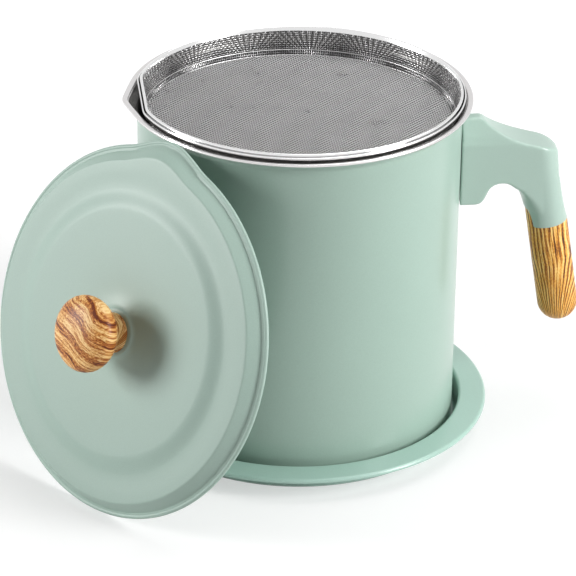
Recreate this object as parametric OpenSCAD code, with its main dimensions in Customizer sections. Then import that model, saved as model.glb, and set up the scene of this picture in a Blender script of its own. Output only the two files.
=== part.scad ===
// Grease container: a drawn pot in a drip tray, a strainer pan hung in its mouth,
// a side handle, and a lid that leans against the pot.
// The origin is on the floor, under the pot's axis. +Z is up, +X runs to the handle
// and the pouring lip points along -X.

/* [Pot] */
// Outer radius of the pot wall
pot_r = 64.8; // [60:0.2:70]
// Height of the rim's top above the floor
pot_h = 142.5; // [130:0.5:150]
// Thickness of the pot's sheet
pot_t = 0.6; // [0.5:0.1:0.8]
// Outer radius of the hemmed rim
rim_r = 69; // [68.5:0.1:69.5]
// How far the pouring lip's corner stands out of the rim
spout_reach = 2.5; // [1.5:0.1:3.5]

/* [Tray] */
// Outer radius of the tray's lip
tray_r = 78.7; // [76:0.1:84]
// Height of the tray's flange
tray_h = 10.8; // [9:0.1:13]
// Thickness of the tray's sheet
tray_t = 0.8; // [0.6:0.1:1]

/* [Strainer] */
// Outer radius of the strainer's ring
ring_r = 66.1; // [65.8:0.1:66.2]
// Width of the ring's section
ring_w = 2.7; // [2.6:0.1:3]
// Height of the ring's section
ring_h = 3.9; // [3:0.1:4.5]
// Distance of the ring's flat from the pot's axis
ring_flat = 63.9; // [63:0.1:65]
// Depth of the pan below the ring's top
pan_depth = 11.9; // [9.9:0.5:15.9]
// Pitch of the wires drawn across the pan's floor
net_pitch = 6.5; // [6.4:0.1:9]
// Width of those wires
net_wire = 1.1; // [0.8:0.1:1.6]

/* [Handle] */
// Width of the arm and of its root
arm_w = 16.8; // [16:0.2:17.4]
// Radius of the hanging leg
leg_r = 8.3; // [8:0.1:8.4]
// Lean of the leg out from the vertical
leg_lean = 9.2; // [7:0.1:11]
// Height of the rounded end's centre above the floor
leg_end_z = 46.3; // [40:0.1:52]
// Distance of that centre from the pot's axis
leg_end_x = 108.3; // [107:0.1:110]

/* [Lid] */
// Outer radius of the lid's rolled edge
lid_r = 73; // [72.6:0.1:73.4]
// Thickness of the lid's sheet
lid_t = 0.7; // [0.6:0.1:0.9]
// Height of the flat ring round the plateau above the edge
lid_ring_h = 6.5; // [6.2:0.1:7]
// How far the tab's corner stands out of the rolled edge
tab_reach = 4.2; // [3.6:0.1:4.6]
// Lean of the standing lid out of the vertical
lid_lean = 17.8; // [16:0.1:17.8]
// Compass direction from the pot's axis in which the lid's top faces
lid_az = -141.2; // [-150:0.1:-135]
// Distance of the standing lid's centre out from the pot's axis
lid_out = 92.9; // [92.9:0.1:100]
// Sideways shift of the standing lid
lid_across = 1.1; // [0:0.1:6]

/* [Knob] */
// Radius of the knob's head
knob_r = 15; // [13:0.1:17]
// Height of the knob above its boss
knob_h = 21.6; // [19:0.1:24]

/* [Hidden] */
$fn = 72;

mint = [0.60, 0.76, 0.70];
wood = [0.80, 0.56, 0.29];
steel = [0.78, 0.79, 0.80];
dark_steel = [0.45, 0.46, 0.48];

slip = 0.1;     // play between pieces that only lie on each other
cut = 1;        // how far a cutting solid runs past the face it cuts

// Pot
pot_z = tray_t + slip;              // underside of the pot
pot_corner = 4;                     // bottom corner, outside
foot_r = 52;                        // inside the foot the bottom is raised
foot_rise = 1;
cove_z = pot_h - 3.7;               // where the wall starts to flare
cove_r = 1.6;
collar_r = pot_r + 2.1;             // wall above the cove, outside
hem_h = 1.2;                        // height of the hemmed rim

// Tray
well_r = 67.2;                      // middle of the sheet at the foot of the well's wall
well_corner = 2.2;
lip_corner = 1;
lip_drop = 1.1;

// Strainer
ring_z = pot_h - 1.35;              // underside of the ring
pan_t = 0.4;
pan_r = ring_r - ring_w - 0.3;      // pan wall, outside, at the ring
pan_draft = 1.3;                    // the wall leans in this much to the floor
pan_corner = 1.8;
clamp_r = pan_r + 1.5;              // the cloth's edge inside the ring
clamp_z = ring_z + 1;

// Handle
root_r = pot_r + 0.4;               // face of the handle's root
root_z = [94.4, 129.4];
arm_ridge_z = 130.6;
plate_t = 1.2;                      // bracket sheet
bracket_w = 11;
bracket_z = [99.6, 124];
foot_l = 9;                         // length of the bracket's two feet
screw_x = root_r + 4.4;
m4_r = 2;                           // M4 screws with cheese heads
m4_head_r = 3.5;
head_h = 2.6;
washer_h = 0.9;
fit = 0.06;                         // radial play of a screw in its thread
tenon_r = 4.4;
tenon_l = 14;
ferrule_z = 83.2;                   // ferrule's edge on the leg's axis
tongue_z = 89.6;                    // the wood's tongue ends here, on the inner side

// Lid
roll_r = 0.95;                      // rolled edge
roll_c = lid_r - roll_r;
skirt_r = lid_r - 1.6;              // skirt, outside, just over the roll
shoulder_r = lid_r - 3.5;
step_r = [53.5, 45];                // outer and inner edge of the step up to the plateau
plateau_rise = 1.8;
boss_r = 10.5;
boss_h = 10;
tab_apex = roll_c + tab_reach;

function unit(v) = v / norm(v);
function left_of(v) = [-v[1], v[0]];
function arc(c, r, a0, a1, n = 6) = [for (i = [0:n]) let (a = a0 + (a1 - a0) * i / n)
    c + r * [cos(a), sin(a)]];
function bezier(p, n = 10) = [for (i = [0:n]) let (t = i / n, s = 1 - t)
    s * s * s * p[0] + 3 * s * s * t * p[1] + 3 * s * t * t * p[2] + t * t * t * p[3]];
function miter(p, i) = let (
    a = unit(i == 0 ? p[1] - p[0] : p[i] - p[i - 1]),
    b = unit(i == len(p) - 1 ? p[i] - p[i - 1] : p[i + 1] - p[i]),
    m = unit(left_of(a) + left_of(b))) m / (m * left_of(a));
// Outline of a sheet of thickness t whose middle follows the points p
function sheet(p, t) = concat(
    [for (i = [0:len(p) - 1]) p[i] + miter(p, i) * t / 2],
    [for (i = [len(p) - 1:-1:0]) p[i] - miter(p, i) * t / 2]);
// Half angle of a corner at distance apex whose sides run just inside the tangents to r
function corner_angle(r, apex) = asin(r / apex) - 1.5;

// A disc of radius r with a V corner that reaches apex along -X
module lipped_disc(r, apex) {
    half = corner_angle(r, apex);
    side = 20;
    union() {
        circle(r, $fn = 120);
        polygon([[-apex, 0], [-apex + side * cos(half), side * sin(half)],
                 [-apex + side * cos(half), -side * sin(half)]]);
    }
}

// A disc of radius r with a flat at -X
module flat_disc(r, flat) {
    difference() {
        circle(r, $fn = 120);
        translate([-flat - 2 * cut - r, -r - cut]) square([r + 2 * cut, 2 * (r + cut)]);
    }
}

module tray() color(mint) {
    wall_top = tray_h - tray_t / 2 - lip_corner;
    middle = concat(
        [[0, tray_t / 2]],
        arc([well_r - well_corner, tray_t / 2 + well_corner], well_corner, -90, -6),
        arc([well_r + 1.6, wall_top], lip_corner, 180, 94),
        arc([tray_r - tray_t / 2 - lip_corner, wall_top - 0.45], lip_corner, 86, 0),
        [[tray_r - tray_t / 2, tray_h - lip_corner - lip_drop]]);
    rotate_extrude($fn = 120) polygon(sheet(middle, tray_t));
}

// Everything inside the outer face of the pot's wall, up to the rim
module pot_outside() {
    bottom = concat(
        [[0, pot_z + foot_rise], [foot_r - 1, pot_z + foot_rise], [foot_r, pot_z]],
        arc([pot_r - pot_corner, pot_z + pot_corner], pot_corner, -90, 0));
    rotate_extrude($fn = 120)
        polygon(concat(bottom, arc([pot_r + cove_r, cove_z], cove_r, 180, 90),
                       [[rim_r + 4, cove_z + cove_r], [rim_r + 4, pot_h], [0, pot_h]]));
}

module pot_inside() {
    wall = pot_r - pot_t;
    corner = pot_corner - pot_t;
    floor_z = pot_z + pot_t;
    rotate_extrude($fn = 120)
        polygon(concat(
            [[0, floor_z + foot_rise], [foot_r - 1.2, floor_z + foot_rise],
             [foot_r - 0.2, floor_z]],
            arc([wall - corner, floor_z + corner], corner, -90, 0),
            arc([pot_r + cove_r, cove_z], cove_r + pot_t, 180, 90),
            [[rim_r + 4, cove_z + cove_r + pot_t], [rim_r + 4, pot_h + cut],
             [0, pot_h + cut]]));
}

module pot_shell() color(mint) difference() {
    union() {
        intersection() {
            pot_outside();
            linear_extrude(pot_h) lipped_disc(collar_r, collar_r + spout_reach);
        }
        translate([0, 0, pot_h - hem_h]) linear_extrude(hem_h)
            lipped_disc(rim_r, rim_r + spout_reach);
    }
    intersection() {
        pot_inside();
        linear_extrude(pot_h + cut)
            lipped_disc(collar_r - pot_t, collar_r - pot_t + spout_reach);
    }
}

module ring_section() {
    top = 1.2;
    foot = 0.5;
    inner = ring_r - ring_w;
    polygon(concat(
        arc([ring_r - foot, ring_z + foot], foot, -90, 0),
        arc([ring_r - top, ring_z + ring_h - top], top, 0, 90),
        arc([inner + top, ring_z + ring_h - top], top, 90, 180),
        arc([inner + foot, ring_z + foot], foot, 180, 270)));
}

module strainer_ring() color(steel) difference() {
    union() {
        intersection() {
            rotate_extrude($fn = 120) ring_section();
            translate([-ring_flat, -ring_r - cut, 0])
                cube([2 * ring_r + cut, 2 * (ring_r + cut), pot_h + 2 * ring_h]);
        }
        intersection() {
            translate([ring_r - ring_flat, ring_r, 0]) rotate([90, 0, 0])
                linear_extrude(2 * ring_r) mirror([1, 0]) ring_section();
            cylinder(h = pot_h + 2 * ring_h, r = ring_r, $fn = 120);
            translate([-ring_r, -ring_r, 0])
                cube([ring_r - ring_flat + ring_w, 2 * ring_r, pot_h + 2 * ring_h]);
        }
    }
    translate([0, 0, clamp_z]) linear_extrude(pan_t + slip)
        flat_disc(clamp_r + slip, ring_flat - ring_r + clamp_r + slip);
}

// The pan's body, drawn in by inset from its outer face
module pan_body(inset, top) {
    floor_r = pan_r - pan_draft - inset;
    floor_z = ring_z + ring_h - pan_depth + inset;
    flat = ring_flat - ring_r + pan_r - inset;
    corner = pan_corner - inset;
    intersection() {
        rotate_extrude($fn = 120)
            polygon(concat([[0, floor_z]],
                arc([floor_r - corner, floor_z + corner], corner, -90, 0),
                [[pan_r - inset, clamp_z], [pan_r - inset, top], [0, top]]));
        linear_extrude(top) flat_disc(pan_r + cut, flat);
    }
}

module strainer_mesh() color(dark_steel) difference() {
    union() {
        pan_body(0, clamp_z + pan_t);
        translate([0, 0, clamp_z]) linear_extrude(pan_t)
            flat_disc(clamp_r, ring_flat - ring_r + clamp_r);
    }
    pan_body(pan_t, clamp_z + pan_t + cut);
    gap = net_pitch - net_wire;
    reach = pan_r - pan_draft - pan_corner - gap * 0.6;
    rows = floor(reach / net_pitch);
    for (i = [-rows:rows], j = [-rows:rows])
        if (norm([i, j]) * net_pitch + gap * 0.7 < reach + gap * 0.5)
            translate([i * net_pitch - gap / 2, j * net_pitch - gap / 2,
                       ring_z + ring_h - pan_depth - cut])
                cube([gap, gap, pan_t + 2 * cut]);
}

// A straight bar along the leg's axis: from z0 to z1 on the axis, radius r
module leg_rod(r, z0, z1) {
    translate([leg_end_x, 0, leg_end_z]) rotate([0, -leg_lean, 0])
        translate([0, 0, (z0 - leg_end_z) / cos(leg_lean)])
            cylinder(h = (z1 - z0) / cos(leg_lean), r = r);
}

function leg_x(z) = leg_end_x - (z - leg_end_z) * tan(leg_lean);

// Side outline of the arm, from its root over the ridge and back under the arch
module arm_outline() {
    polygon(concat(
        [[pot_r - 4, root_z[0]], [root_r + 5.6, root_z[0]]],
        bezier([[root_r + 5.6, root_z[0]], [75, 94.4], [74.9, 98.4], [76.8, 101.2]]),
        bezier([[76.8, 101.2], [79.8, 104.6], [87.8, 105.8], [91.6, 92.6]]),
        [[leg_x(ferrule_z - 6) - leg_r + 1.2, ferrule_z - 6],
         [leg_x(ferrule_z - 6), ferrule_z - 6], [107.6, 94.8], [106.4, 101],
         [105.5, 106], [105.1, 115.2]],
        bezier([[105.1, 115.2], [103.4, 118.3], [95.5, 119], [88.6, 121.4]]),
        bezier([[88.6, 121.4], [83, 123.4], [77.4, 126.6], [74.6, 129.4]]),
        [[73, 130.5], [70.4, 130.5], [pot_r - 4, root_z[1]]]));
}

// The outer side of the arm's end and of the ferrule, past which nothing reaches
module arm_back() {
    polygon([[111.4, 79], [110.7, 83.8], [109, 89], [107.6, 94.8], [106.4, 101],
             [105.5, 106], [105.1, 115.2], [90, 124], [80, 124], [80, 60], [111.4, 60]]);
}

// The arm's section seen along X: flat sides that draw in to a ridge
module arm_section() {
    half = arm_w / 2;
    polygon([[-half, 60], [half, 60], [half, 120.6], [half - 1.4, 123.8], [3, 129.8],
             [1.8, arm_ridge_z], [-1.8, arm_ridge_z], [-3, 129.8], [1.4 - half, 123.8],
             [-half, 120.6]]);
}

// The space of the wood below the ferrule, with its tongue on the inner side
module wood_side() {
    slope = tan(leg_lean);
    inset = 6.3;
    x_edge = leg_x(ferrule_z) - inset;
    translate([0, arm_w, 0]) rotate([90, 0, 0]) linear_extrude(2 * arm_w)
        polygon([[130, ferrule_z + (130 - leg_x(ferrule_z)) * slope],
                 [x_edge, ferrule_z - inset * slope], [x_edge - 1.1, 86.4],
                 [x_edge - 2.6, tongue_z], [80, tongue_z], [80, 0], [130, 0]]);
}

module screw(head_z, l, up = 1) {
    translate([0, 0, head_z]) mirror([0, 0, up > 0 ? 0 : 1]) {
        cylinder(h = l, r = m4_r - fit);
        translate([0, 0, -head_h]) difference() {
            cylinder(h = head_h, r = m4_head_r);
            for (turn = [0, 90]) rotate([0, 0, turn])
                translate([-2.2, -0.45, -cut]) cube([4.4, 0.9, cut + 1.4]);
        }
    }
}

module handle_bracket() color(dark_steel) difference() {
    half = bracket_w / 2;
    union() {
        intersection() {
            difference() {
                cylinder(h = bracket_z[1], r = pot_r + plate_t, $fn = 120);
                translate([0, 0, -cut])
                    cylinder(h = bracket_z[1] + 2 * cut, r = pot_r, $fn = 120);
            }
            translate([0, -half, bracket_z[0]])
                cube([2 * pot_r, bracket_w, bracket_z[1] - bracket_z[0]]);
        }
        for (z = [bracket_z[0], bracket_z[1] - plate_t])
            difference() {
                translate([pot_r - 2, -half, z]) cube([foot_l + 2, bracket_w, plate_t]);
                translate([0, 0, z - cut])
                    cylinder(h = plate_t + 2 * cut, r = pot_r, $fn = 120);
            }
    }
    translate([screw_x, 0, bracket_z[0] - cut]) cylinder(h = plate_t + 2 * cut, r = m4_r);
}

module handle_body() color(mint) difference() {
    union() {
        intersection() {
            translate([0, arm_w / 2, 0]) rotate([90, 0, 0])
                linear_extrude(arm_w) arm_outline();
            translate([pot_r - 8, 0, 0]) rotate([90, 0, 90])
                linear_extrude(60) arm_section();
            union() {
                translate([0, -arm_w, 0]) cube([leg_x(114) + 1, 2 * arm_w, pot_h]);
                leg_rod(leg_r + 0.1, leg_end_z, pot_h);
            }
        }
        intersection() {
            leg_rod(leg_r, ferrule_z - 10, 116);
            translate([0, arm_w, 0]) rotate([90, 0, 0])
                linear_extrude(2 * arm_w) arm_back();
        }
    }
    wood_side();
    cylinder(h = pot_h, r = root_r, $fn = 120);
    translate([0, -bracket_w / 2 - slip, bracket_z[0] - slip])
        cube([pot_r + foot_l + slip + 0.4, bracket_w + 2 * slip,
              bracket_z[1] - bracket_z[0] + 2 * slip]);
    translate([screw_x, 0, root_z[0] - cut]) cylinder(h = 10, r = m4_r + 0.3);
    translate([screw_x, 0, root_z[0] - cut])
        cylinder(h = cut + head_h + washer_h + 2 * slip, r = m4_head_r + 0.3);
    leg_rod(tenon_r + slip, ferrule_z - 4, ferrule_z + tenon_l + slip);
}

module handle_grip() color(wood) {
    intersection() {
        union() {
            leg_rod(leg_r, leg_end_z, tongue_z + 4);
            translate([leg_end_x, 0, leg_end_z]) sphere(r = leg_r);
        }
        wood_side();
    }
    leg_rod(tenon_r, ferrule_z - 6, ferrule_z + tenon_l);
}

module handle_lock_washer() color(steel)
    translate([screw_x, 0, root_z[0] + head_h + slip]) difference() {
        cylinder(h = washer_h, r = m4_head_r);
        translate([0, 0, -cut]) cylinder(h = washer_h + 2 * cut, r = m4_r + 0.15);
        translate([0, -0.3, -cut]) cube([5, 0.6, washer_h + 2 * cut]);
    }

module handle_screw() color(dark_steel)
    translate([screw_x, 0, 0]) screw(root_z[0] + head_h, 9);

// The lid lies here with its edge on z = 0 and its tab along -X; lid_pose stands it up.
// Outline of the lid's outer face, from the axis to the foot of the skirt
function lid_face(d) = concat(
    [[0, boss_h - d], [boss_r - 2, boss_h - d]],
    arc([boss_r - 2, boss_h - 2], 2 - d, 80, 30, 4),
    [[boss_r + 3, lid_ring_h + plateau_rise + 0.2 - d],
     [step_r[1], lid_ring_h + plateau_rise - d],
     [(step_r[0] + step_r[1]) / 2 + 1.6, lid_ring_h + plateau_rise - 0.5 - d],
     [(step_r[0] + step_r[1]) / 2 + 2.6, lid_ring_h + 0.4 - d],
     [step_r[0] + 1.5, lid_ring_h - d]],
    arc([shoulder_r - 1.6, lid_ring_h - 1.6], 1.6 - d, 90, 12),
    [[skirt_r - d, roll_r]]);

// A wedge that carries the lid's skirt and top out to the tab; d is its inset. The
// inset wedge runs down past the edge, so that it opens the tab from below.
module tab_wedge(d) {
    foot = tab_apex - (roll_c - skirt_r) - d;
    head = tab_apex - (roll_c - shoulder_r) - d;
    bevel = 1.4;
    hull() {
        translate([0, 0, d > 0 ? -cut : 0.5 * roll_r]) linear_extrude(0.01)
            tab_triangle(skirt_r - d, foot);
        translate([0, 0, roll_r]) linear_extrude(0.01) tab_triangle(skirt_r - d, foot);
        translate([0, 0, lid_ring_h - d - bevel]) linear_extrude(0.01)
            tab_triangle(shoulder_r - d, head);
        translate([0, 0, lid_ring_h - d - 0.01]) linear_extrude(0.01)
            tab_triangle(shoulder_r - d - bevel, head - bevel);
    }
}

module tab_triangle(r, apex) {
    half = corner_angle(r, apex);
    side = 22;
    polygon([[-apex, 0], [-apex + side * cos(half), side * sin(half)],
             [-apex + side * cos(half), -side * sin(half)]]);
}

// The rolled edge along the tab's two straight sides. It is a little thinner than the
// ring's roll and lies a little further in, so that its ends sink into that roll.
module tab_roll() {
    r = roll_r - 0.1;
    meet = acos((roll_c - 0.08) / tab_apex);
    for (side = [-1, 1])
        translate([-tab_apex, 0, roll_r]) rotate([0, 0, side * (90 - meet)])
            rotate([0, 90, 0]) cylinder(h = tab_apex * sin(meet) - 1, r = r, $fn = 24);
    translate([-tab_apex, 0, roll_r]) sphere(r = r, $fn = 24);
}

module lid_pose() {
    side = [-sin(lid_az), cos(lid_az)] * -lid_across;
    stand = roll_c * cos(lid_lean) - roll_r * sin(lid_lean) + roll_r;
    translate([lid_out * cos(lid_az) - side[0], lid_out * sin(lid_az) - side[1], stand])
        rotate([0, 0, lid_az]) rotate([0, 90 - lid_lean, 0]) children();
}

module lid_shell() color(mint) lid_pose() difference() {
    union() {
        rotate_extrude($fn = 120) union() {
            polygon(concat(lid_face(0), [[0, roll_r]]));
            translate([roll_c, roll_r]) circle(roll_r, $fn = 24);
        }
        tab_wedge(0);
        tab_roll();
    }
    rotate_extrude($fn = 120)
        polygon(concat(lid_face(lid_t), [[skirt_r - lid_t, -cut], [0, -cut]]));
    tab_wedge(lid_t);
    translate([0, 0, -cut]) cylinder(h = boss_h + 2 * cut, r = m4_r + 0.2);
}

module lid_knob() color(wood) lid_pose() translate([0, 0, boss_h]) difference() {
    k = knob_r / 15;
    rotate_extrude($fn = 96) polygon(concat(
        [[0, 0], [7.9 * k, 0]],
        bezier([[7.9 * k, 0], [7.1 * k, 2.4], [6.9 * k, 4.6], [8.6 * k, 6.4]]),
        bezier([[8.6 * k, 6.4], [11.6 * k, 9.4], [15 * k, 11.4], [15 * k, 15.4]]),
        bezier([[15 * k, 15.4], [15 * k, 19.6], [9 * k, knob_h], [0, knob_h]])));
    translate([0, 0, -cut]) cylinder(h = cut + 11, r = 3.5);
}

module knob_insert() color(steel) lid_pose() translate([0, 0, boss_h + slip])
    difference() {
        cylinder(h = 10, r = 3.4);
        translate([0, 0, -cut]) cylinder(h = 10 + 2 * cut, r = m4_r);
    }

module knob_washer() color(steel) lid_pose() translate([0, 0, boss_h - lid_t - 1.1])
    difference() {
        cylinder(h = 1, r = 6);
        translate([0, 0, -cut]) cylinder(h = 1 + 2 * cut, r = m4_r + 0.2);
    }

module knob_screw() color(dark_steel) lid_pose()
    screw(boss_h - lid_t - 1.15, 9.6);

tray();
pot_shell();
handle_bracket();
handle_body();
handle_grip();
handle_screw();
handle_lock_washer();
strainer_ring();
strainer_mesh();
lid_shell();
lid_knob();
knob_insert();
knob_screw();
knob_washer();
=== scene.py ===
"""Looks of a grease container: a strainer pot in its drip tray, with the lid leaning on it.

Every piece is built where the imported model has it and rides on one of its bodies.
Sections of turned work are in millimetres; shaders and lamps are in metres.
"""

import logging
import math
from dataclasses import dataclass, field
from enum import Enum
from typing import Any, Callable, Sequence

import bmesh
import bpy
from mathutils import Matrix, Vector


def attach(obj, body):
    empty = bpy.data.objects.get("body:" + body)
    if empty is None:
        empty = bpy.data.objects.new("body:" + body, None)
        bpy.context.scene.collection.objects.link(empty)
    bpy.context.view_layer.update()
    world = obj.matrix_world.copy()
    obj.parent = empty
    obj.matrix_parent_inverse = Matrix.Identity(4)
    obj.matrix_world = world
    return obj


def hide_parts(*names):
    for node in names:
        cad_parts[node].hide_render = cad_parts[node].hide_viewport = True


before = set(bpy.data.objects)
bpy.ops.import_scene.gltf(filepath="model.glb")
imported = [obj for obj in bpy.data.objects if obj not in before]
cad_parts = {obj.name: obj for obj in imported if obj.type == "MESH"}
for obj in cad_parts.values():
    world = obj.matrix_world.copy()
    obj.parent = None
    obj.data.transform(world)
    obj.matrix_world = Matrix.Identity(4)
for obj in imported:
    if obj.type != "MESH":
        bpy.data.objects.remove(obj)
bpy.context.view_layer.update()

log = logging.getLogger("grease_container")

MM = 0.001
ON_AXIS = 1e-4  # a point nearer the axis than this lies on it
WELD = 1e-6  # vertices nearer to each other than this are one, in metres
STRAIGHT = 1.56  # half the angle between two stretches that run straight on, in radians
CRISP = 40.0  # edges that bend more than this many degrees stay crisp
SIDES = 288  # round a turned piece
FINE_SIDES = 384  # round a piece whose edge is seen close

Point = tuple[float, float]
Place = tuple[float, float, float]
Corner = tuple[float, float, float]  # radius, height and fillet
Colour = tuple[float, float, float, float]
Inputs = dict[str | int, Any]
Piece = bpy.types.Object
Paint = bpy.types.Material


class Body(Enum):
    """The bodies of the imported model."""

    TRAY = "tray"
    POT = "pot"
    STRAINER = "strainer"
    LID = "lid"


class Slot(Enum):
    """Names of material slots, one handed over with each piece made here."""

    ENAMEL = "mint_enamel"
    MOULDING = "mint_moulding"
    WOOD = "wood_look"
    POLISHED = "polished_steel"
    CLOTH = "steel_mesh"


# ---- node trees


def _sign(operation: str, swapped: bool = False) -> Callable[["Wire", "Wire | float"], "Wire"]:
    """The method behind one of Wire's signs, with the other value first when swapped."""

    def method(wire: "Wire", other: "Wire | float") -> "Wire":
        """Adds the sign's Math node."""
        inputs = {0: other, 1: wire} if swapped else {0: wire, 1: other}
        return wire.bench.wire("ShaderNodeMath", inputs, operation=operation)

    return method


class Wire:
    """A number on its way through a node tree, which can be written into formulas."""

    __add__ = __radd__ = _sign("ADD")
    __sub__ = _sign("SUBTRACT")
    __rsub__ = _sign("SUBTRACT", swapped=True)
    __mul__ = __rmul__ = _sign("MULTIPLY")
    __truediv__ = _sign("DIVIDE")
    __mod__ = _sign("FLOORED_MODULO")
    __pow__ = _sign("POWER")
    __lt__ = _sign("LESS_THAN")
    __gt__ = _sign("GREATER_THAN")

    def __init__(self, bench: "Bench", socket: bpy.types.NodeSocket) -> None:
        """Keeps the bench that makes new nodes, and the socket this number comes from."""
        self.bench = bench
        self.socket = socket

    def apply(self, operation: str, other: "Wire | float | None" = None) -> "Wire":
        """Any other Math operation, such as SINE, ABSOLUTE, ROUND or MINIMUM."""
        inputs = {0: self} if other is None else {0: self, 1: other}
        return self.bench.wire("ShaderNodeMath", inputs, operation=operation)

    def clamp(self, low: float = 0.0, high: float = 1.0) -> "Wire":
        """The number, held between two limits."""
        return self.apply("MAXIMUM", low).apply("MINIMUM", high)


class Bench:
    """Makes nodes in one tree, of a material, of the world or of geometry."""

    def __init__(self, tree: bpy.types.NodeTree) -> None:
        """Takes the tree that the nodes go into."""
        self.tree = tree

    @classmethod
    def cleared(cls, owner: Paint | bpy.types.World) -> "Bench":
        """A bench for the owner's own tree, with nothing in it yet."""
        owner.use_nodes = True
        owner.node_tree.nodes.clear()
        return cls(owner.node_tree)

    def node(self, kind: str, inputs: Inputs | None = None, **settings: Any) -> bpy.types.Node:
        """Adds a node.

        Args:
            kind: the node's type.
            inputs: values, wires or sockets, by socket name or number.
            settings: its properties, set first.

        Returns:
            The node.
        """
        made = self.tree.nodes.new(kind)
        for name, value in settings.items():
            setattr(made, name, value)
        for key, value in (inputs or {}).items():
            socket = made.inputs[key]
            if isinstance(value, Wire):
                value = value.socket
            if isinstance(value, bpy.types.NodeSocket):
                self.tree.links.new(value, socket)
            else:
                socket.default_value = value
        return made

    def wire(
        self, kind: str, inputs: Inputs | None = None, output: str | int = 0, **settings: Any
    ) -> Wire:
        """Adds a node as node() does, and returns one of its outputs as a wire."""
        return Wire(self, self.node(kind, inputs, **settings).outputs[output])

    def place(self) -> Wire:
        """The point being shaded, in the object's own coordinates."""
        return self.wire("ShaderNodeTexCoord", output="Object")

    def axes(self, vector: Wire) -> tuple[Wire, Wire, Wire]:
        """The three numbers of a vector."""
        split = self.node("ShaderNodeSeparateXYZ", {0: vector})
        return tuple(Wire(self, output) for output in split.outputs)

    def joined(self, **parts: "Wire | float") -> Wire:
        """A vector from its X, Y and Z, each 0 where it isn't given."""
        return self.wire("ShaderNodeCombineXYZ", parts)

    def noise(self, vector: Wire, scale: float, detail: float, rough: float = 0.5) -> Wire:
        """A smooth noise from 0 to 1."""
        inputs = {"Vector": vector, "Scale": scale, "Detail": detail, "Roughness": rough}
        return self.wire("ShaderNodeTexNoise", inputs)

    def ramp(self, factor: Wire, stops: Sequence[tuple[float, Colour]]) -> Wire:
        """A colour read off a ramp, each stop of which is a place from 0 to 1 and a colour."""
        made = self.node("ShaderNodeValToRGB", {"Fac": factor})
        elements = made.color_ramp.elements
        while len(elements) < len(stops):
            elements.new(1.0)
        for element, (place, colour) in zip(elements, stops):
            element.position, element.color = place, colour
        return Wire(self, made.outputs[0])

    def blend(self, factor: Wire, first: Colour, second: Colour) -> Wire:
        """A colour mixed from two."""
        inputs = {"Factor": factor, 6: first, 7: second}
        return self.wire("ShaderNodeMix", inputs, output=2, data_type="RGBA")

    def bump(self, height: Wire, depth: float, strength: float) -> Wire:
        """A normal from a height, where depth is in metres."""
        inputs = {"Height": height, "Distance": depth, "Strength": strength}
        return self.wire("ShaderNodeBump", inputs)

    def seen(self) -> Wire:
        """1 for what the camera sees straight or in a mirror, else 0."""
        path = self.node("ShaderNodeLightPath")
        mirrored = Wire(self, path.outputs["Is Glossy Ray"])
        return Wire(self, path.outputs["Is Camera Ray"]).apply("MAXIMUM", mirrored)


def from_axis(x: Wire, y: Wire) -> Wire:
    """How far a point lies from the Z axis."""
    return (x * x + y * y) ** 0.5


def srgb(red: int, green: int, blue: int) -> Colour:
    """A screen colour of 0 to 255 as linear light, with full alpha."""

    def linear(level: int) -> float:
        """One channel."""
        share = level / 255
        return share / 12.92 if share <= 0.04045 else ((share + 0.055) / 1.055) ** 2.4

    return linear(red), linear(green), linear(blue), 1.0


# ---- finishes


@dataclass(frozen=True)
class Finish:
    """What every finish has: a name and a principled surface."""

    name: str

    def material(self) -> Paint:
        """Builds the material."""
        made = bpy.data.materials.new(self.name)
        bench = Bench.cleared(made)
        surface = bench.node("ShaderNodeBsdfPrincipled", self.surface(bench))
        bench.node("ShaderNodeOutputMaterial", {"Surface": surface.outputs[0]})
        return made

    def surface(self, bench: Bench) -> Inputs:
        """Its surface's inputs."""
        raise NotImplementedError


@dataclass(frozen=True)
class Enamel(Finish):
    """Soft-sheen mint coating with a faint pearl speckle and orange peel."""

    colour: Colour
    roughness: float
    coat: float = 0.3
    coat_roughness: float = 0.12
    sheen_level: float = 0.5
    speckle: float = 0.05
    fine_scale: float = 2600.0
    cloud_scale: float = 26.0
    peel_scale: float = 420.0
    peel_depth: float = 0.02 * MM

    def surface(self, bench: Bench) -> Inputs:
        """Its surface's inputs."""
        place = bench.place()
        fine = bench.noise(place, self.fine_scale, 1.0)
        cloud = bench.noise(place, self.cloud_scale, 3.0)
        peel = bench.noise(place, self.peel_scale, 2.0)
        darker, lighter = (
            (*(channel * (1 + change) for channel in self.colour[:3]), 1.0)
            for change in (-self.speckle, self.speckle)
        )
        grain = (fine - 0.5) * 1.6 + (cloud - 0.5) * 0.5 + 0.5
        return {
            "Base Color": bench.blend(grain.apply("MINIMUM", 1.0), darker, lighter),
            "Roughness": self.roughness + (cloud - 0.5) * 0.06 + (fine - 0.5) * 0.05,
            "Specular IOR Level": self.sheen_level,
            "Coat Weight": self.coat,
            "Coat Roughness": self.coat_roughness,
            "Normal": bench.bump(peel + fine * 0.35, self.peel_depth, 0.5),
        }


def bare_metal(colour: "Wire | Colour", roughness: Wire, normal: Wire | None = None) -> Inputs:
    """The inputs of a metal surface."""
    inputs = {"Base Color": colour, "Metallic": 1.0, "Roughness": roughness}
    return inputs if normal is None else {**inputs, "Normal": normal}


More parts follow.
